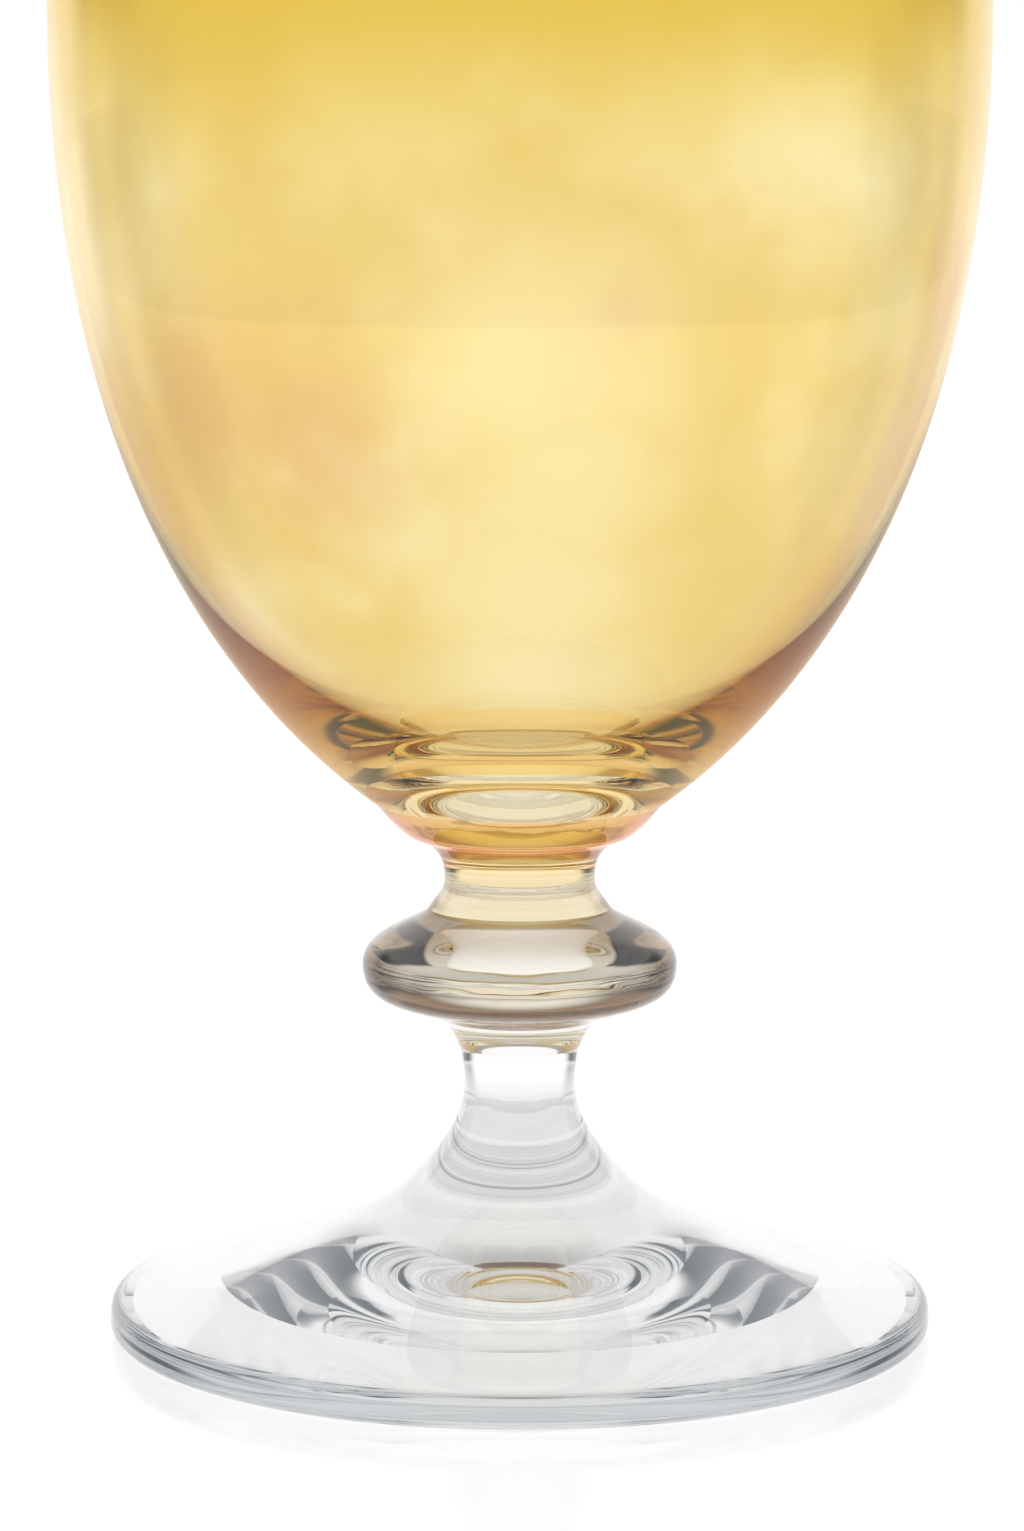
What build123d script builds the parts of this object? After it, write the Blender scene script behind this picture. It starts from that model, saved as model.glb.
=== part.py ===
"""Stemmed drinking goblet, standing on its foot, all round the Z axis.

Each node is one bit of glass that the maker shapes and joins hot to the next, so neighbours meet
face to face on a flat ring or disc. From the table up: foot, foot boss, stem, stem collar, knop,
neck, merese and bowl. Every section is drawn in the XZ plane, as radius and height above the
table in millimetres, and turned once about Z.
"""

import os

from build123d import *

# Overall sizes
foot_radius = 37.6
rim_radius = 38.1
rim_height = 158.0
belly_radius = 41.9
belly_height = 119.0
wall = 0.9  # bowl wall, from the belly up to the rim

# Heights of the joints between one bit of glass and the next, with the radius at each joint
boss_base_height, boss_base_radius = 10.6, 14.4
stem_base_height, stem_base_radius = 20.3, 5.4
collar_base_height, collar_base_radius = 26.0, 5.5
knop_base_height, knop_base_radius = 28.7, 7.3
neck_base_height, neck_base_radius = 38.8, 8.3
merese_base_height, merese_base_radius = 42.8, 6.98
ledge_height, ledge_radius = 48.4, 13.0  # the crisp ledge where the bowl sits on the merese

# Foot
standing_radius = 35.6  # outer edge of the flat ring that rests on the table
foot_edge_height = 1.2
foot_lip_radius, foot_lip_height = 37.0, 3.2
kick_radius = 34.6  # the hollow under the foot, a cone up to a crease and then a shallow dome
kick_height = 4.7
crease_radius, crease_height = 26.6, 1.9

# Stem, neck, knop and bowl
stem_waist = 4.95
neck_waist = 6.85
neck_waist_height = 41.5
knop_radius = 14.36
knop_waist_height = 33.7
bowl_floor_height = 50.4
bowl_floor_spread = 19.5  # how far out the inside of the floor stays nearly level

os.makedirs("parts", exist_ok=True)


# Foot: a disc that rises to a flat seat for the boss, hollowed underneath inside a standing ring
with BuildPart() as foot:
    with BuildSketch(Plane.XZ):
        with BuildLine():
            Bezier(
                (0, kick_height),
                (10.5, kick_height),
                (19.0, 3.3),
                (crease_radius, crease_height),
            )
            Polyline(
                (crease_radius, crease_height),
                (kick_radius, 0),
                (standing_radius, 0),
            )
            Bezier(
                (standing_radius, 0),
                (foot_radius - 0.4, 0),
                (foot_radius, 0.4 * foot_edge_height),
                (foot_radius, foot_edge_height),
            )
            Bezier(
                (foot_radius, foot_edge_height),
                (foot_radius, foot_edge_height + 1.2),
                (foot_lip_radius + 0.45, foot_lip_height - 0.25),
                (foot_lip_radius, foot_lip_height),
            )
            Bezier(
                (foot_lip_radius, foot_lip_height),
                (30.9, 5.3),
                (21.9, 7.4),
                (boss_base_radius, boss_base_height),
            )
            Polyline(
                (boss_base_radius, boss_base_height),
                (0, boss_base_height),
                (0, kick_height),
            )
        make_face()
    revolve(axis=Axis.Z)
foot.part.label = "foot"
export_step(foot.part, "parts/foot.step")


# Foot boss: the flared cone of glass that carries the stem
with BuildPart() as foot_boss:
    with BuildSketch(Plane.XZ):
        with BuildLine():
            Bezier(
                (boss_base_radius, boss_base_height),
                (9.98, 12.8),
                (6.38, 17.2),
                (stem_base_radius, stem_base_height),
            )
            Polyline(
                (stem_base_radius, stem_base_height),
                (0, stem_base_height),
                (0, boss_base_height),
                (boss_base_radius, boss_base_height),
            )
        make_face()
    revolve(axis=Axis.Z)
foot_boss.part.label = "foot_boss"
export_step(foot_boss.part, "parts/foot_boss.step")


# Stem: the slim waisted length
with BuildPart() as stem:
    with BuildSketch(Plane.XZ):
        with BuildLine():
            Bezier(
                (stem_base_radius, stem_base_height),
                (stem_waist, 22.0),
                (stem_waist + 0.1, 24.6),
                (collar_base_radius, collar_base_height),
            )
            Polyline(
                (collar_base_radius, collar_base_height),
                (0, collar_base_height),
                (0, stem_base_height),
                (stem_base_radius, stem_base_height),
            )
        make_face()
    revolve(axis=Axis.Z)
stem.part.label = "stem"
export_step(stem.part, "parts/stem.step")


# Stem collar: the short flare under the knop
with BuildPart() as stem_collar:
    with BuildSketch(Plane.XZ):
        with BuildLine():
            Bezier(
                (collar_base_radius, collar_base_height),
                (5.9, 26.8),
                (6.4, 28.2),
                (knop_base_radius, knop_base_height),
            )
            Polyline(
                (knop_base_radius, knop_base_height),
                (0, knop_base_height),
                (0, collar_base_height),
                (collar_base_radius, collar_base_height),
            )
        make_face()
    revolve(axis=Axis.Z)
stem_collar.part.label = "stem_collar"
export_step(stem_collar.part, "parts/stem_collar.step")


# Knop: the wide ring that the fingers rest under
with BuildPart() as knop:
    with BuildSketch(Plane.XZ):
        with BuildLine():
            Bezier(
                (knop_base_radius, knop_base_height),
                (10.8, 30.4),
                (knop_radius, 29.9),
                (knop_radius, knop_waist_height),
            )
            Bezier(
                (knop_radius, knop_waist_height),
                (knop_radius, 36.8),
                (9.4, 37.4),
                (neck_base_radius, neck_base_height),
            )
            Polyline(
                (neck_base_radius, neck_base_height),
                (0, neck_base_height),
                (0, knop_base_height),
                (knop_base_radius, knop_base_height),
            )
        make_face()
    revolve(axis=Axis.Z)
knop.part.label = "knop"
export_step(knop.part, "parts/knop.step")


# Neck: the clear drum between the knop and the coloured merese
with BuildPart() as neck:
    with BuildSketch(Plane.XZ):
        with BuildLine():
            Bezier(
                (neck_base_radius, neck_base_height),
                (7.8, 39.7),
                (neck_waist, 40.3),
                (neck_waist, neck_waist_height),
            )
            Bezier(
                (neck_waist, neck_waist_height),
                (neck_waist, 42.0),
                (6.89, 42.4),
                (merese_base_radius, merese_base_height),
            )
            Polyline(
                (merese_base_radius, merese_base_height),
                (0, merese_base_height),
                (0, neck_base_height),
                (neck_base_radius, neck_base_height),
            )
        make_face()
    revolve(axis=Axis.Z)
neck.part.label = "neck"
export_step(neck.part, "parts/neck.step")


# Merese: the coloured collar, flaring in two steps to the ledge under the bowl
with BuildPart() as merese:
    with BuildSketch(Plane.XZ):
        with BuildLine():
            Bezier(
                (merese_base_radius, merese_base_height),
                (7.2, 43.8),
                (8.1, 44.9),
                (9.6, 45.3),
            )
            Bezier(
                (9.6, 45.3),
                (10.6, 45.5),
                (12.4, 47.6),
                (ledge_radius, ledge_height),
            )
            Polyline(
                (ledge_radius, ledge_height),
                (0, ledge_height),
                (0, merese_base_height),
                (merese_base_radius, merese_base_height),
            )
        make_face()
    revolve(axis=Axis.Z)
merese.part.label = "merese"
export_step(merese.part, "parts/merese.step")


# Bowl: an egg-shaped cup, thick at its floor and thin at its rim, with a fire-polished lip
inner_belly = belly_radius - wall
inner_rim = rim_radius - wall
with BuildPart() as bowl:
    with BuildSketch(Plane.XZ):
        with BuildLine():
            Bezier(
                (ledge_radius, ledge_height),
                (28.2, 59.4),
                (belly_radius, 81.2),
                (belly_radius, belly_height),
            )
            Bezier(
                (belly_radius, belly_height),
                (belly_radius, belly_height + 15),
                (rim_radius + 1.9, rim_height - 12),
                (rim_radius, rim_height - wall / 2),
            )
            ThreePointArc(
                (rim_radius, rim_height - wall / 2),
                (rim_radius - wall / 2, rim_height),
                (inner_rim, rim_height - wall / 2),
            )
            Bezier(
                (inner_rim, rim_height - wall / 2),
                (inner_rim + 1.9, rim_height - 12),
                (inner_belly, belly_height + 15),
                (inner_belly, belly_height),
            )
            Bezier(
                (inner_belly, belly_height),
                (inner_belly, 70.8),
                (bowl_floor_spread, bowl_floor_height),
                (0, bowl_floor_height),
            )
            Polyline(
                (0, bowl_floor_height),
                (0, ledge_height),
                (ledge_radius, ledge_height),
            )
        make_face()
    revolve(axis=Axis.Z)
bowl.part.label = "bowl"
export_step(bowl.part, "parts/bowl.step")
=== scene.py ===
"""Stemmed drinking goblet: a lustred amber bowl on an orange merese, with a ring knop, a short clear
stem and a wide clear foot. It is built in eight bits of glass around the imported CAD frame."""

import math

import bpy
import numpy as np
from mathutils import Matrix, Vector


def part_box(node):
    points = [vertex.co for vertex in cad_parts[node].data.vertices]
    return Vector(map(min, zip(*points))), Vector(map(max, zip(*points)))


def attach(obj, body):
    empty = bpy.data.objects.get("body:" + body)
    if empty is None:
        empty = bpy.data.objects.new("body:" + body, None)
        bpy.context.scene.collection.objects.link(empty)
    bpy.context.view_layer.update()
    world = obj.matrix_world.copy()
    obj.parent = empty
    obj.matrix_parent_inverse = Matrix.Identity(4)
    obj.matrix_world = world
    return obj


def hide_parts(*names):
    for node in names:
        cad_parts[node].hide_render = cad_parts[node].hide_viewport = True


bl_info = {
    "name": "Stemmed Goblet",
    "version": (1, 0, 0),
    "blender": (4, 5, 0),
    "location": "View3D > Sidebar > Goblet",
    "description": "Builds a blown goblet from eight bits of glass, with its stage",
    "category": "Object",
}

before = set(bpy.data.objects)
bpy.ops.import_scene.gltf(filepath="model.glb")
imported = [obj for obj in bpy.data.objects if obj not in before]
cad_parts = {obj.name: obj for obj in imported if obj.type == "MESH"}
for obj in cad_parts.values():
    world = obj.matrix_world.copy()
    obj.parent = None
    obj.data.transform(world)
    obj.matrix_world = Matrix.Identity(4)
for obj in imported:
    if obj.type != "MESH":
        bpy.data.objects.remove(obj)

MM = 0.001
AROUND = 288  # columns of faces round the axis
BODY = "root"


def edge_of(node):
    """Widest radius, lowest height and highest height of a CAD node, in millimetres."""
    low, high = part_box(node)
    return float(high[0]) / MM, float(low[2]) / MM, float(high[2]) / MM


# Radii and heights in millimetres: the frame's own, and then those that its boxes don't give
BOWL_RADIUS, LEDGE_HEIGHT, RIM_HEIGHT = edge_of("bowl")
LEDGE_RADIUS, NECK_TOP_HEIGHT, _ = edge_of("merese")
NECK_RADIUS, KNOP_TOP_HEIGHT, _ = edge_of("neck")
KNOP_RADIUS, KNOP_BASE_HEIGHT, _ = edge_of("knop")
KNOP_BASE_RADIUS, COLLAR_HEIGHT, _ = edge_of("stem_collar")
COLLAR_RADIUS, STEM_HEIGHT, _ = edge_of("stem")
BOSS_RADIUS, BOSS_HEIGHT, _ = edge_of("foot_boss")
FOOT_RADIUS = edge_of("foot")[0]
MERESE_STEP = (9.6, 45.3)  # where the merese's two flares meet
NECK_WAIST_HEIGHT = 41.5
KNOP_WAIST_HEIGHT = 33.7
FOOT_LIP = (37.0, 3.2)  # top of the foot's rounded rim
FOOT_EDGE_HEIGHT = 1.2  # where that rim is widest


# Properties


def length(name, text, value):
    """A size in millimetres that a user may change."""
    return bpy.props.FloatProperty(name=name, description=text, default=value, min=0.0, precision=2)


class GobletSizes(bpy.types.PropertyGroup):
    """Sizes of the goblet that a user may change, in millimetres."""

    rim_radius: length("Rim radius", "Outer radius of the lip, in mm", 38.1)
    belly_height: length("Belly height", "Height of the bowl's widest point, in mm", 119.0)
    wall: length("Wall", "Thickness of the bowl from the belly up, in mm", 0.9)
    floor_height: length("Bowl floor height", "Height of the inside of the bowl's floor, in mm", 50.4)
    floor_spread: length("Bowl floor spread", "How far out the inside of the floor stays level, in mm", 19.5)
    neck_waist: length("Neck waist", "Radius of the slimmest part of the neck, in mm", 6.85)
    neck_top: length("Neck top", "Radius of the neck where the merese begins, in mm", 6.98)
    stem_waist: length("Stem waist", "Control radius of the slimmest part of the stem, in mm", 4.95)
    stem_base: length("Stem base", "Radius of the stem where the boss ends, in mm", 5.4)
    standing_radius: length("Standing radius", "Outer edge of the flat ring under the foot, in mm", 35.6)
    kick_radius: length("Kick radius", "Radius of the hollow under the foot, in mm", 34.6)
    kick_height: length("Kick height", "Height of the hollow under the foot, in mm", 4.7)
    crease_radius: length("Crease radius", "Where the hollow's cone meets its dome, in mm", 26.6)
    crease_height: length("Crease height", "Height of that crease, in mm", 1.9)


def linear(code):
    """Linear RGBA from an sRGB hex value such as "F0D782"."""
    parts = [int(code[i : i + 2], 16) / 255 for i in (0, 2, 4)]
    return tuple(c / 12.92 if c <= 0.04045 else ((c + 0.055) / 1.055) ** 2.4 for c in parts) + (1.0,)


def hue(name, text, value):
    """A colour that a user may change, given as an sRGB hex value and kept linear."""
    return bpy.props.FloatVectorProperty(
        name=name, description=text, subtype="COLOR", size=4, min=0.0, max=1.0, default=linear(value)
    )


class GobletColours(bpy.types.PropertyGroup):
    """Colours of the glass, as what one wall does to white light that passes through it, except the greys of
    the foot's disc, cone and rim and the knop's dark brown lobes, which are painted shade.
    """

    gold: hue("Gold", "Main colour of the bowl's lustre", "F3E3AE")
    pale_gold: hue("Pale gold", "Thin clouds in the lustre", "FFFAE2")
    deep_gold: hue("Deep gold", "Lustre towards the rim", "EED97F")
    smoke: hue("Smoke", "Brownish clouds in the lustre", "ECCFA6")
    mauve: hue("Mauve", "Lower lustre at a glancing angle", "D8B68E")
    pale_edge: hue("Pale edge", "Upper lustre at a glancing angle", "FDF3DE")
    pale_base: hue("Pale base", "Thin lustre on the base of the bowl", "FDF4D6")
    orange: hue("Orange", "Glass of the merese", "FDE2AA")
    ember: hue("Ember", "Merese at a glancing angle", "EE6A1E")
    honey: hue("Honey", "Neck, where the orange glass runs into it", "EBD6AA")
    straw: hue("Straw", "Faint smoke in the knop", "ECE5D4")
    # Painted shade where it darkens the knop's lobes; on the neck it darkens the glancing edges
    umber_and_painted_shade: hue("Umber", "Neck and knop at a glancing angle", "7A5A38")
    # Painted shade: darkens the knop's lower lobes
    lobe_painted_shade: hue("Bark", "Lower half of the knop at a glancing angle", "4A3220")
    # Painted shade: a grey in place of the shaded table seen through the foot's disc
    disc_painted_shade: hue("Water white", "Colourless glass of the foot's disc", "E9EAEA")
    # Painted shade: a grey in place of the shade seen in the boss
    cone: hue("Cone grey", "Thick colourless glass of the boss", "DCDCDA")
    bright: hue("Bright", "Colourless glass of the stem and its collar", "F4F4F4")
    # Painted shade: a grey in place of the dark surroundings seen in the foot's rim
    rim: hue("Rim grey", "Rounded rim of the foot", "C2C5C7")


# Sections: each is an array of (radius, height) rows in millimetres


def curve(start, first, second, end, steps=40):
    """Cubic Bezier curve: the four points weighted by the Bernstein polynomials of t."""
    t = np.linspace(0.0, 1.0, steps + 1)[:, None]
    points = np.array([start, first, second, end], dtype=float)
    weights = np.hstack([(1 - t) ** 3, 3 * t * (1 - t) ** 2, 3 * t**2 * (1 - t), t**3])
    return weights @ points


def straight(start, end, steps=6):
    """Points evenly spaced from start to end."""
    t = np.linspace(0.0, 1.0, steps + 1)[:, None]
    return (1 - t) * np.array(start, dtype=float) + t * np.array(end, dtype=float)


def arc(centre, radius, first_degrees, last_degrees, steps=12):
    """Circular arc: centre plus radius times the cosine and sine of an even run of angles."""
    turn = np.radians(np.linspace(first_degrees, last_degrees, steps + 1))
    return np.array(centre, dtype=float) + radius * np.column_stack([np.cos(turn), np.sin(turn)])


# Runs: a piece's outline is a list of them, each (section, is_seal, is_crisp), in order from the axis
# at the bottom, out and up, and back to the axis


def side(section, crisp=False):
    """A stretch of free surface, which may start at a crisp edge."""
    return section, False, crisp


def joint_below(radius, height):
    """The flat joint with the bit of glass underneath, from the axis out."""
    return straight((0, height), (radius, height)), True, False


def joint_above(radius, height):
    """The flat joint with the bit of glass on top, from its crisp edge back to the axis."""
    return straight((radius, height), (0, height)), True, True


def turned_piece(name, runs, finish, node):
    """Closed body of revolution that stands for a CAD node, which it hides, and takes the finish that it is
    given.

    Each row (r, z) of the outline becomes the ring (r cos t, r sin t, z) over an even run of t, and
    the first and last rows, on the axis, become one point each."""
    starts = np.cumsum([0] + [len(section) - 1 for section, _, _ in runs])
    section = np.vstack([runs[0][0][:1]] + [rows[1:] for rows, _, _ in runs]) * MM
    ring = section[1:-1]
    turn = 2 * np.pi * np.arange(AROUND) / AROUND
    x = ring[:, :1] * np.cos(turn)
    y = ring[:, :1] * np.sin(turn)
    z = np.repeat(ring[:, 1:], AROUND, axis=1)
    grid = np.stack([x, y, z], axis=-1).reshape(-1, 3)
    poles = np.array([[0, 0, section[0, 1]], [0, 0, section[-1, 1]]])

    index = np.arange(len(grid)).reshape(len(ring), AROUND)
    after = np.roll(index, -1, axis=1)
    quads = np.stack([index[:-1], after[:-1], after[1:], index[1:]], axis=-1).reshape(-1, 4)
    low, high = len(grid), len(grid) + 1
    bottom = np.stack([np.full(AROUND, low), after[0], index[0]], axis=-1)
    top = np.stack([np.full(AROUND, high), index[-1], after[-1]], axis=-1)
    faces = bottom.tolist() + quads.tolist() + top.tolist()
    mesh = bpy.data.meshes.new(name)
    mesh.from_pydata(np.vstack([grid, poles]), [], faces)

    mesh.materials.append(finish)
    mesh.materials.append(shared("fused_glass_joint", hot_seal))
    seals = np.repeat([int(is_seal) for _, is_seal, _ in runs], np.diff(starts))
    mesh.polygons.foreach_set("material_index", np.repeat(seals, AROUND).astype(np.int32))
    mesh.polygons.foreach_set("use_smooth", np.ones(len(faces), dtype=bool))

    # Row n of the outline is ring n - 1, because row 0 is the point on the axis
    crisp_rings = [start - 1 for start, (_, _, is_crisp) in zip(starts, runs) if is_crisp]
    ends = np.empty(len(mesh.edges) * 2, dtype=np.int32)
    mesh.edges.foreach_get("vertices", ends)
    ring_of = np.append(np.repeat(np.arange(len(ring)), AROUND), [-1, -2])[ends.reshape(-1, 2)]
    crisp = np.isin(ring_of[:, 0], crisp_rings) & (ring_of[:, 0] == ring_of[:, 1])
    mesh.attributes.new("sharp_edge", "BOOLEAN", "EDGE").data.foreach_set("value", crisp)
    mesh.update()

    piece = bpy.data.objects.new(name, mesh)
    bpy.context.collection.objects.link(piece)
    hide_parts(node)
    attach(piece, BODY)
    return piece


# Materials: all of them are soda-lime glass that the heat of the furnace leaves glossy

FIRE_POLISHED = {"Roughness": 0.0, "IOR": 1.52}
EDGE_BLEND = 0.35  # how early the glancing edge of a piece counts as one


def add_node(tree, kind, links=None, **settings):
    """One node of that kind: settings are its properties, or its inputs by name, and links join them."""
    node = tree.nodes.new(kind)
    for key, value in settings.items():
        if hasattr(node, key):
            setattr(node, key, value)
        else:
            node.inputs[key.replace("_", " ")].default_value = value
    for key, source in (links or {}).items():
        tree.links.new(source, node.inputs[key])
    return node


def new_material(name):
    """An empty node material, its nodes and its output."""
    material = bpy.data.materials.new(name)
    material.use_nodes = True
    material.node_tree.nodes.clear()
    return material, material.node_tree, material.node_tree.nodes.new("ShaderNodeOutputMaterial")


def shared(name, make, **values):
    """A material that several pieces share: made once, then found by its name."""
    return bpy.data.materials.get(name) or make(name, **values)


def per_size(size):
    """Noise scale for features of that size in millimetres."""
    return 1.0 / (size * MM)


def place_and_height(tree):
    """Where a point is on the goblet, and how high above the table, both in metres."""
    place = add_node(tree, "ShaderNodeTexCoord").outputs["Object"]
    return place, add_node(tree, "ShaderNodeSeparateXYZ", {"Vector": place}).outputs["Z"]


def glancing(tree):
    """0 where a surface faces the eye, rising to 1 where it is seen edge on."""
    return add_node(tree, "ShaderNodeLayerWeight", Blend=EDGE_BLEND).outputs["Facing"]


def ramp(tree, source, low, high, first=0.0, last=1.0):
    """A smooth change from first to last as source goes from low to high."""
    limits = {"From_Min": low, "From_Max": high, "To_Min": first, "To_Max": last}
    node = add_node(
        tree, "ShaderNodeMapRange", {"Value": source}, interpolation_type="SMOOTHSTEP", **limits
    )
    return node.outputs["Result"]


def both(tree, first, second):
    """How far two masks overlap: their product."""
    return add_node(tree, "ShaderNodeMath", {0: first, 1: second}, operation="MULTIPLY").outputs[0]


def either(tree, first, second):
    """How far one mask or the other is on: the larger of the two."""
    return add_node(tree, "ShaderNodeMath", {0: first, 1: second}, operation="MAXIMUM").outputs[0]


def blend_colour(tree, under, over, mask):
    """Lays one colour over another where a mask is on. Each colour is a value or a socket."""
    node = add_node(tree, "ShaderNodeMix", {"Factor": mask}, data_type="RGBA")
    for socket, value in ((node.inputs[6], under), (node.inputs[7], over)):
        if isinstance(value, bpy.types.NodeSocket):
            tree.links.new(value, socket)
        else:
            socket.default_value = value
    return node.outputs[2]


def soft_clouds(tree, place, mask, clouds):
    """Adds round clouds to a mask. Each fades from near its centre to its reach, in millimetres."""
    for centre, reach in clouds:
        apart = add_node(tree, "ShaderNodeVectorMath", {0: place}, operation="DISTANCE")
        apart.inputs[1].default_value = [value * MM for value in centre]
        cloud = ramp(tree, apart.outputs["Value"], 0.15 * reach * MM, reach * MM, 1.0, 0.0)
        mask = either(tree, mask, cloud)
    return mask


def hot_seal(name):
    """The inside of a hot joint: the two bits are one glass there, so light goes straight on."""
    material, tree, out = new_material(name)
    clear = add_node(tree, "ShaderNodeBsdfTransparent")
    tree.links.new(clear.outputs[0], out.inputs["Surface"])
    return material


def clear_glass(name):
    """Colourless glass, with painted shade. The slim stem is nearly clear. The foot's disc is painted grey
    in place of the shaded table seen through it, and the thick cone of the boss and the rounded rim of the
    foot are painted greyer in place of the shade seen in them."""
    colours = bpy.context.scene.goblet_colours
    material, tree, out = new_material(name)
    place, height = place_and_height(tree)
    flat = add_node(tree, "ShaderNodeVectorMath", {0: place}, operation="MULTIPLY")
    flat.inputs[1].default_value = (1, 1, 0)
    links = {0: flat.outputs["Vector"]}
    radius = add_node(tree, "ShaderNodeVectorMath", links, operation="LENGTH").outputs["Value"]
    # Painted shade: the foot's disc grey, greyer in the boss from 8 mm up and on the foot's rim beyond 36.2
    # mm; the stem from 20 mm up is nearly clear
    tone = blend_colour(tree, colours.disc_painted_shade, colours.cone, ramp(tree, height, 8 * MM, 12 * MM))
    tone = blend_colour(tree, tone, colours.bright, ramp(tree, height, 20 * MM, 23 * MM))
    tone = blend_colour(tree, tone, colours.rim, ramp(tree, radius, 36.2 * MM, 37.2 * MM))
    settings = {"Base_Color": colours.disc_painted_shade, "Transmission_Weight": 1.0}
    shader = add_node(tree, "ShaderNodeBsdfPrincipled", {"Base Color": tone}, **settings, **FIRE_POLISHED)
    tree.links.new(shader.outputs[0], out.inputs["Surface"])
    return material


def lustre_glass(name):
    """Blown glass with a fired golden lustre. The film lies unevenly, in soft pale and smoky clouds,
    is deeper towards the rim and thin at the base and the lip, and turns mauve-brown low on the bowl
    where it is seen at a glancing angle. It colours the light each time that the light crosses it."""
    colours = bpy.context.scene.goblet_colours
    material, tree, out = new_material(name)
    place, height = place_and_height(tree)
    cloud_size, wisp_size, raggedness = 34.0, 11.0, 9.0
    clouds = add_node(tree, "ShaderNodeTexNoise", {"Vector": place}, Scale=per_size(cloud_size), Detail=5.0)
    wisps = add_node(tree, "ShaderNodeTexNoise", {"Vector": place}, Scale=per_size(wisp_size), Detail=3.0)
    links = {0: wisps.outputs["Color"], 2: place}
    ragged = add_node(tree, "ShaderNodeVectorMath", links, operation="MULTIPLY_ADD")
    ragged.inputs[1].default_value = [raggedness * MM] * 3
    drift = ragged.outputs["Vector"]

    pale_clouds = (((6, -36, 92), 20), ((6, -26, 74), 17), ((8, -30, 84), 14))
    smoky_clouds = (((-16, -32, 86), 18), ((-24, -24, 90), 14), ((40, -8, 100), 9))
    thin_film, smoky_film = (0.50, 0.68, 0.0, 0.8), (0.40, 0.26, 0.0, 0.6)
    pale = soft_clouds(tree, drift, ramp(tree, clouds.outputs["Fac"], *thin_film), pale_clouds)
    smoky = soft_clouds(tree, drift, ramp(tree, clouds.outputs["Fac"], *smoky_film), smoky_clouds)
    colour = blend_colour(tree, colours.gold, colours.smoke, smoky)
    colour = blend_colour(tree, colour, colours.pale_gold, pale)
    colour = blend_colour(tree, colour, colours.deep_gold, ramp(tree, height, 100 * MM, 128 * MM))
    colour = blend_colour(tree, colour, colours.pale_base, ramp(tree, height, 50 * MM, 60 * MM, 1.0, 0.0))
    colour = blend_colour(tree, colour, colours.pale_gold, ramp(tree, height, 155.5 * MM, 157 * MM))
    edge = blend_colour(tree, colours.mauve, colours.pale_edge, ramp(tree, height, 78 * MM, 100 * MM))
    colour = blend_colour(tree, colour, edge, ramp(tree, glancing(tree), 0.25, 0.80))
    half_each = 0.5  # a wall's colour is shared between its two surfaces, as its square root
    film = add_node(tree, "ShaderNodeGamma", {"Color": colour}, Gamma=half_each)
    shader = add_node(tree, "ShaderNodeBsdfGlass", {"Color": film.outputs[0]}, **FIRE_POLISHED)
    tree.links.new(shader.outputs[0], out.inputs["Surface"])
    return material


def tool_ripple(tree, size, depth):
    """Faint waves that the jacks leave as they squeeze the turning glass: long round the axis and
    short along it. size is the wave's length along the axis and depth its height, in millimetres."""
    place, _ = place_and_height(tree)
    squeezed = add_node(tree, "ShaderNodeMapping", {"Vector": place}, Scale=(0.35, 0.35, 1.0))
    links = {"Vector": squeezed.outputs[0]}
    waves = add_node(tree, "ShaderNodeTexNoise", links, Scale=per_size(size), Detail=2.0)
    links = {"Height": waves.outputs["Fac"]}
    return add_node(tree, "ShaderNodeBump", links, Strength=1.0, Distance=depth * MM).outputs["Normal"]


def tooled_glass(name, colour, edge, spread, wave_size, wave_depth, under=None):
    """Glass coloured in the pot and shaped with the jacks. Its glancing edges gather more colour, over that
    spread of the facing value, and a faint ripple breaks up what is seen through it; on the knop that edge
    colour is painted shade. The glancing edges below the knop's waist may be painted darker still, in the
    colour given as under, as more painted shade."""
    material, tree, out = new_material(name)
    glance = glancing(tree)
    # Glancing edges take the edge colour; on the knop this is painted shade
    tone = blend_colour(tree, colour, edge, ramp(tree, glance, *spread))
    if under:
        _, height = place_and_height(tree)
        # Painted shade: the knop's glancing edges below its waist turn darker
        painted_shade_below_waist = ramp(tree, height, 32.5 * MM, 35 * MM, 1.0, 0.0)
        tone = blend_colour(tree, tone, under, both(tree, painted_shade_below_waist, ramp(tree, glance, 0.04, 0.22)))
    links = {"Base Color": tone, "Normal": tool_ripple(tree, wave_size, wave_depth)}
    settings = {"Base_Color": colour, "Transmission_Weight": 1.0}
    shader = add_node(tree, "ShaderNodeBsdfPrincipled", links, **settings, **FIRE_POLISHED)
    tree.links.new(shader.outputs[0], out.inputs["Surface"])
    return material


def water_glass():
    """Foot, boss, stem and collar: colourless, so they show by what they bend and mirror, and by painted
    shade, grey in the foot's disc, the boss and the foot's rim.
    """
    return shared("clear_soda_glass_painted_shade", clear_glass)


def straw_glass():
    """Knop: a faint smoky straw at its middle, and painted shade in its two lobes, brown at glancing angles
    and darker brown below the waist.
    """
    colours = bpy.context.scene.goblet_colours
    return shared(
        "smoky_soda_glass_painted_shade",
        tooled_glass,
        colour=colours.straw,
        # Edge and under colours are painted shade in the knop's lobes
        edge=colours.umber_and_painted_shade,
        spread=(0.05, 0.55),
        wave_size=4.0,
        wave_depth=0.20,
        under=colours.lobe_painted_shade,
    )


def honey_glass():
    """Neck: smoky glass with a little of the merese's orange in it."""
    colours = bpy.context.scene.goblet_colours
    return shared(
        "honey_soda_glass",
        tooled_glass,
        colour=colours.honey,
        edge=colours.umber_and_painted_shade,
        spread=(0.30, 0.90),
        wave_size=4.0,
        wave_depth=0.06,
    )


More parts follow.
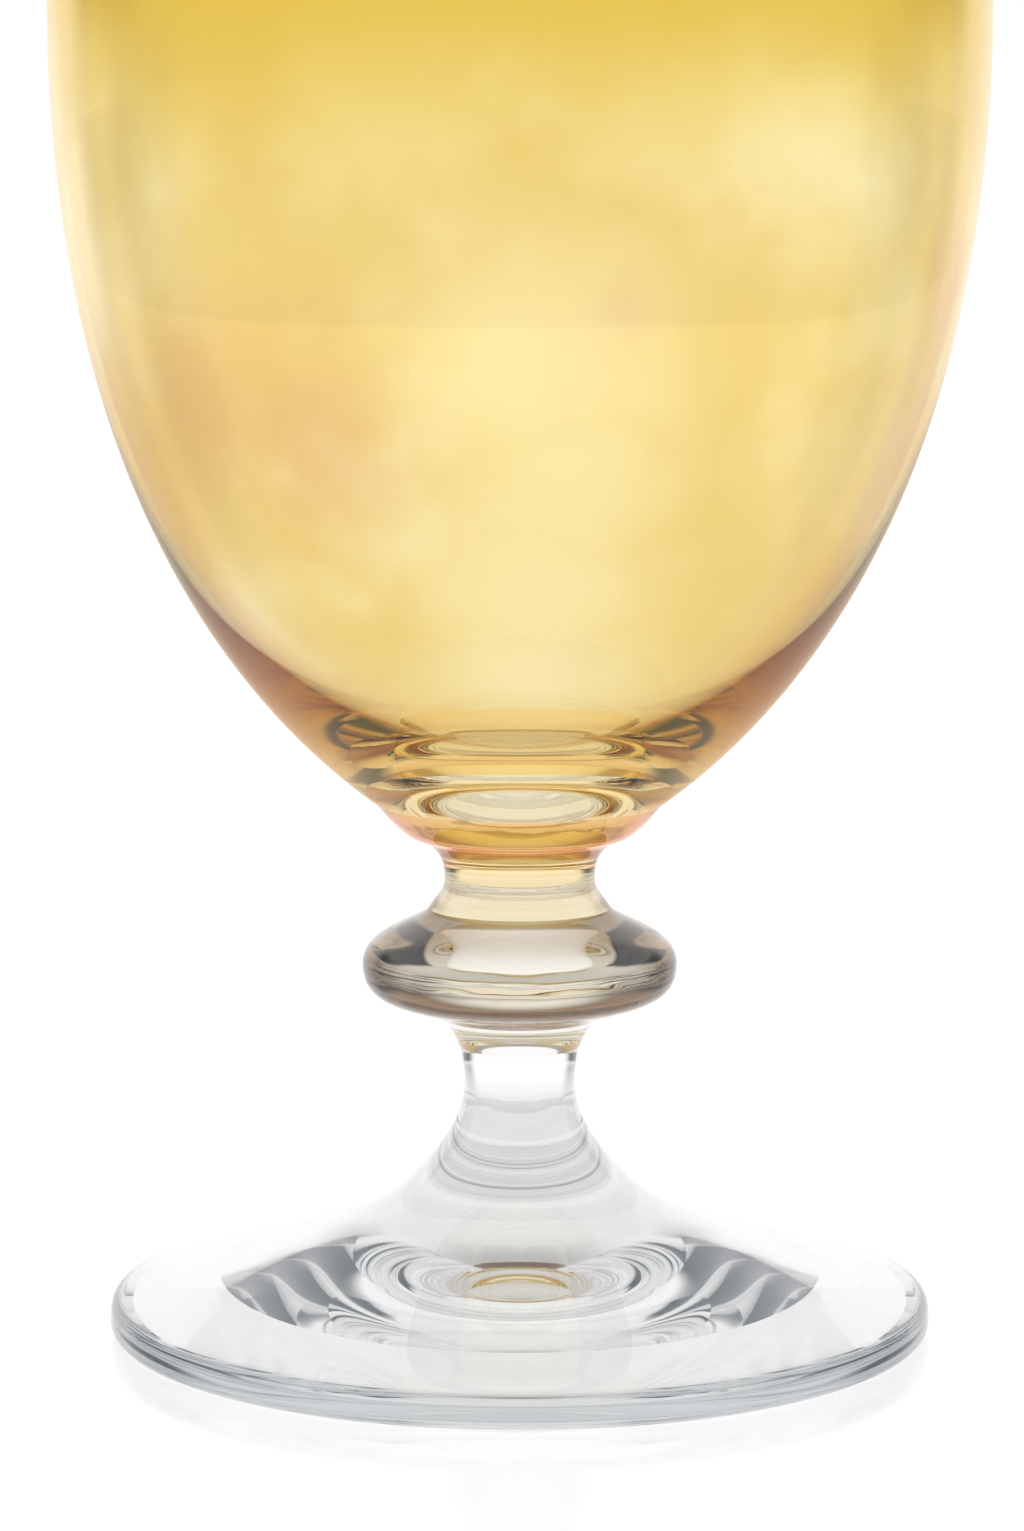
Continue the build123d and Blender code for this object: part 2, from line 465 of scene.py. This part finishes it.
def orange_glass():
    """Merese: yellow at its middle, and ember red at its outer edges."""
    colours = bpy.context.scene.goblet_colours
    return shared(
        "orange_soda_glass",
        tooled_glass,
        colour=colours.orange,
        edge=colours.ember,
        spread=(0.30, 0.75),
        wave_size=2.0,
        wave_depth=0.04,
    )


# Operators, one for each bit of glass or pair of bits


class OBJECT_OT_goblet_foot(bpy.types.Operator):
    """Spin the wide foot, hollow underneath, and the boss that carries the stem"""

    bl_idname = "object.goblet_foot"
    bl_label = "Foot and boss"

    def execute(self, context):
        s = context.scene.goblet_sizes
        crease, kick_edge = (s.crease_radius, s.crease_height), (s.kick_radius, 0)
        standing_edge, rim_edge = (s.standing_radius, 0), (FOOT_RADIUS, FOOT_EDGE_HEIGHT)
        lip_radius, lip_height = FOOT_LIP
        boss_edge, stem_edge = (BOSS_RADIUS, BOSS_HEIGHT), (s.stem_base, STEM_HEIGHT)
        below_rim = ((FOOT_RADIUS - 0.4, 0), (FOOT_RADIUS, 0.4 * FOOT_EDGE_HEIGHT))
        above_rim = ((FOOT_RADIUS, FOOT_EDGE_HEIGHT + 1.2), (lip_radius + 0.45, lip_height - 0.25))
        runs = [
            side(curve((0, s.kick_height), (10.5, s.kick_height), (19.0, 3.3), crease, steps=60)),
            side(straight(crease, kick_edge), crisp=True),
            side(straight(kick_edge, standing_edge), crisp=True),
            side(curve(standing_edge, *below_rim, rim_edge, steps=10)),
            side(curve(rim_edge, *above_rim, FOOT_LIP, steps=12)),
            side(curve(FOOT_LIP, (30.9, 5.3), (21.9, 7.4), boss_edge, steps=60)),
            joint_above(*boss_edge),
        ]
        turned_piece("foot_glass", runs, water_glass(), "foot")
        runs = [
            joint_below(*boss_edge),
            side(curve(boss_edge, (9.98, 12.8), (6.38, 17.2), stem_edge, steps=50), crisp=True),
            joint_above(*stem_edge),
        ]
        turned_piece("foot_boss_glass", runs, water_glass(), "foot_boss")
        return {"FINISHED"}


class OBJECT_OT_goblet_stem(bpy.types.Operator):
    """Draw the slim waisted stem and the flared collar under the knop"""

    bl_idname = "object.goblet_stem"
    bl_label = "Stem and collar"

    def execute(self, context):
        s = context.scene.goblet_sizes
        base, top = (s.stem_base, STEM_HEIGHT), (COLLAR_RADIUS, COLLAR_HEIGHT)
        knop_edge = (KNOP_BASE_RADIUS, KNOP_BASE_HEIGHT)
        runs = [
            joint_below(*base),
            side(curve(base, (s.stem_waist, 22.0), (s.stem_waist + 0.1, 24.6), top), crisp=True),
            joint_above(*top),
        ]
        turned_piece("stem_glass", runs, water_glass(), "stem")
        runs = [
            joint_below(*top),
            side(curve(top, (5.9, 26.8), (6.4, 28.2), knop_edge), crisp=True),
            joint_above(*knop_edge),
        ]
        turned_piece("stem_collar_glass", runs, water_glass(), "stem_collar")
        return {"FINISHED"}


class OBJECT_OT_goblet_knop(bpy.types.Operator):
    """Squeeze the wide ring knop"""

    bl_idname = "object.goblet_knop"
    bl_label = "Knop"

    def execute(self, context):
        base, top = (KNOP_BASE_RADIUS, KNOP_BASE_HEIGHT), (NECK_RADIUS, KNOP_TOP_HEIGHT)
        waist = (KNOP_RADIUS, KNOP_WAIST_HEIGHT)
        runs = [
            joint_below(*base),
            side(curve(base, (10.8, 30.4), (KNOP_RADIUS, 29.9), waist), crisp=True),
            side(curve(waist, (KNOP_RADIUS, 36.8), (9.4, 37.4), top)),
            joint_above(*top),
        ]
        turned_piece("knop_glass", runs, straw_glass(), "knop")
        return {"FINISHED"}


class OBJECT_OT_goblet_neck(bpy.types.Operator):
    """Draw the neck between the knop and the merese"""

    bl_idname = "object.goblet_neck"
    bl_label = "Neck"

    def execute(self, context):
        s = context.scene.goblet_sizes
        base, top = (NECK_RADIUS, KNOP_TOP_HEIGHT), (s.neck_top, NECK_TOP_HEIGHT)
        waist = (s.neck_waist, NECK_WAIST_HEIGHT)
        runs = [
            joint_below(*base),
            side(curve(base, (7.8, 39.7), (s.neck_waist, 40.3), waist), crisp=True),
            side(curve(waist, (s.neck_waist, 42.0), (6.89, 42.4), top, steps=12)),
            joint_above(*top),
        ]
        turned_piece("neck_glass", runs, honey_glass(), "neck")
        return {"FINISHED"}


class OBJECT_OT_goblet_merese(bpy.types.Operator):
    """Press the orange merese that flares to the ledge under the bowl"""

    bl_idname = "object.goblet_merese"
    bl_label = "Merese"

    def execute(self, context):
        s = context.scene.goblet_sizes
        base, ledge = (s.neck_top, NECK_TOP_HEIGHT), (LEDGE_RADIUS, LEDGE_HEIGHT)
        runs = [
            joint_below(*base),
            side(curve(base, (7.2, 43.8), (8.1, 44.9), MERESE_STEP), crisp=True),
            side(curve(MERESE_STEP, (10.6, 45.5), (12.4, 47.6), ledge)),
            joint_above(*ledge),
        ]
        turned_piece("merese_glass", runs, orange_glass(), "merese")
        return {"FINISHED"}


class OBJECT_OT_goblet_bowl(bpy.types.Operator):
    """Blow the egg-shaped bowl, thick at its floor and thin at its rim"""

    bl_idname = "object.goblet_bowl"
    bl_label = "Bowl"

    def execute(self, context):
        s = context.scene.goblet_sizes
        half_wall = s.wall / 2
        lip_height = RIM_HEIGHT - half_wall  # where the lip's half circle begins and ends
        ledge, belly = (LEDGE_RADIUS, LEDGE_HEIGHT), (BOWL_RADIUS, s.belly_height)
        outer_rim, inner_rim = (s.rim_radius, lip_height), (s.rim_radius - s.wall, lip_height)
        floor = (s.floor_spread, s.floor_height)
        inner_radius = BOWL_RADIUS - s.wall
        inner_belly = (inner_radius, s.belly_height)
        # The curves between belly and lip: where their handles end, and how far out the lip's one leans
        shoulder, below_lip, lean = s.belly_height + 15, RIM_HEIGHT - 12, 1.9
        outer_lean, inner_lean = (outer_rim[0] + lean, below_lip), (inner_rim[0] + lean, below_lip)
        runs = [
            joint_below(*ledge),
            side(curve(ledge, (28.2, 59.4), (BOWL_RADIUS, 81.2), belly, steps=90), crisp=True),
            side(curve(belly, (BOWL_RADIUS, shoulder), outer_lean, outer_rim)),
            side(arc((s.rim_radius - half_wall, lip_height), half_wall, 0, 180)),
            side(curve(inner_rim, inner_lean, (inner_radius, shoulder), inner_belly)),
            side(curve(inner_belly, (inner_radius, 70.8), floor, (0, s.floor_height), steps=90)),
        ]
        finish = shared("amber_lustre_blown_glass", lustre_glass)
        turned_piece("bowl_glass", runs, finish, "bowl")
        return {"FINISHED"}


# Stage


class SCENE_OT_goblet_stage(bpy.types.Operator):
    """Set the glossy white table, the soft surroundings and the camera"""

    bl_idname = "scene.goblet_stage"
    bl_label = "Stage"

    def execute(self, context):
        self.table()
        self.surroundings(context.scene)
        self.camera(context.scene)
        return {"FINISHED"}

    def table(self):
        """A wide sheet of glossy white acrylic that glows evenly, so that the goblet casts no shadow."""
        half = 3.0  # of its width, in metres
        drop = 0.0001  # keeps the sheet clear of the standing ring's face
        mesh = bpy.data.meshes.new("table")
        corners = [(-half, -half, 0), (half, -half, 0), (half, half, 0), (-half, half, 0)]
        mesh.from_pydata(corners, [], [(0, 1, 2, 3)])
        material, tree, out = new_material("white_acrylic_table")
        body = {"Base_Color": linear("606060"), "Specular_IOR_Level": 0.0}
        gloss = {"Coat_Weight": 1.0, "Coat_Roughness": 0.12, "Coat_IOR": 1.6}
        glow = {"Emission_Color": (1, 1, 1, 1), "Emission_Strength": 1.0}
        shader = add_node(tree, "ShaderNodeBsdfPrincipled", **body, **gloss, **glow)
        tree.links.new(shader.outputs[0], out.inputs["Surface"])
        mesh.materials.append(material)
        table = bpy.data.objects.new("table", mesh)
        table.location.z = -drop
        bpy.context.collection.objects.link(table)

    def surroundings(self, scene):
        """A bright sweep behind the goblet, softer light from the sides, the front and above, and a
        low slate grey card behind it on each side, which draws the dark lines in clear glass."""
        back_level, side_level, overhead_level, card_colour = 1.12, 0.85, 0.75, linear("48535F")
        # Where each change starts and ends, as the Y or Z part of the direction seen from the goblet
        card_front, card_back, card_foot, card_head = (0.14, 0.32), (0.60, 0.78), (0.00, 0.07), (0.36, 0.50)
        overhead = (0.35, 0.85)
        world = bpy.data.worlds.new("studio")
        world.use_nodes = True
        tree = world.node_tree
        tree.nodes.clear()
        way = add_node(tree, "ShaderNodeTexCoord").outputs["Generated"]
        split = add_node(tree, "ShaderNodeSeparateXYZ", {"Vector": way}).outputs
        across = both(
            tree, ramp(tree, split["Y"], *card_front), ramp(tree, split["Y"], *card_back, 1.0, 0.0)
        )
        upright = both(
            tree, ramp(tree, split["Z"], *card_foot), ramp(tree, split["Z"], *card_head, 1.0, 0.0)
        )
        sweep = ramp(tree, split["Y"], *card_back, side_level, back_level)
        light = both(tree, sweep, ramp(tree, split["Z"], *overhead, 1.0, overhead_level))
        tone = blend_colour(tree, (1, 1, 1, 1), card_colour, both(tree, across, upright))
        glow = add_node(tree, "ShaderNodeBackground", {"Color": tone, "Strength": light})
        out = tree.nodes.new("ShaderNodeOutputWorld")
        tree.links.new(glow.outputs[0], out.inputs["Surface"])
        scene.world = world
        scene.view_settings.view_transform = "Standard"
        crossings = 40  # light may cross this many surfaces, because the glass has many behind each other
        for path in ("max_bounces", "transmission_bounces", "glossy_bounces", "transparent_max_bounces"):
            setattr(scene.cycles, path, crossings)

    def camera(self, scene):
        """A long lens a little above the goblet's middle, looking slightly down at the stem."""
        distance, eye_height, aim_height, aside = 0.400, 0.103, 0.0518, -0.0007
        film_width, focal_length, nearest = 36, 104.4, 0.01
        data = bpy.data.cameras.new("camera")
        data.sensor_width = film_width
        data.lens = focal_length
        data.clip_start = nearest
        camera = bpy.data.objects.new("camera", data)
        camera.location = (aside, -distance, eye_height)
        camera.rotation_euler = (math.pi / 2 - math.atan2(eye_height - aim_height, distance), 0, 0)
        scene.collection.objects.link(camera)
        scene.camera = camera


class VIEW3D_PT_goblet(bpy.types.Panel):
    """Lists the goblet's sizes and colours, its bits of glass and its stage"""

    bl_label = "Goblet"
    bl_idname = "VIEW3D_PT_goblet"
    bl_space_type = "VIEW_3D"
    bl_region_type = "UI"
    bl_category = "Goblet"

    def draw(self, context):
        layout = self.layout
        for group in (context.scene.goblet_sizes, context.scene.goblet_colours):
            box = layout.box()
            for key in group.bl_rna.properties.keys():
                if key not in ("rna_type", "name"):
                    box.prop(group, key)
        for step in STEPS:
            layout.operator(step.bl_idname)


STEPS = (
    OBJECT_OT_goblet_foot,
    OBJECT_OT_goblet_stem,
    OBJECT_OT_goblet_knop,
    OBJECT_OT_goblet_neck,
    OBJECT_OT_goblet_merese,
    OBJECT_OT_goblet_bowl,
    SCENE_OT_goblet_stage,
)
CLASSES = (GobletSizes, GobletColours) + STEPS + (VIEW3D_PT_goblet,)


def register():
    for cls in CLASSES:
        bpy.utils.register_class(cls)
    bpy.types.Scene.goblet_sizes = bpy.props.PointerProperty(type=GobletSizes)
    bpy.types.Scene.goblet_colours = bpy.props.PointerProperty(type=GobletColours)


def unregister():
    del bpy.types.Scene.goblet_colours
    del bpy.types.Scene.goblet_sizes
    for cls in reversed(CLASSES):
        bpy.utils.unregister_class(cls)


def main():
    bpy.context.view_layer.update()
    register()
    for step in STEPS:
        area, name = step.bl_idname.split(".")
        getattr(getattr(bpy.ops, area), name)()


if __name__ == "__main__":
    main()
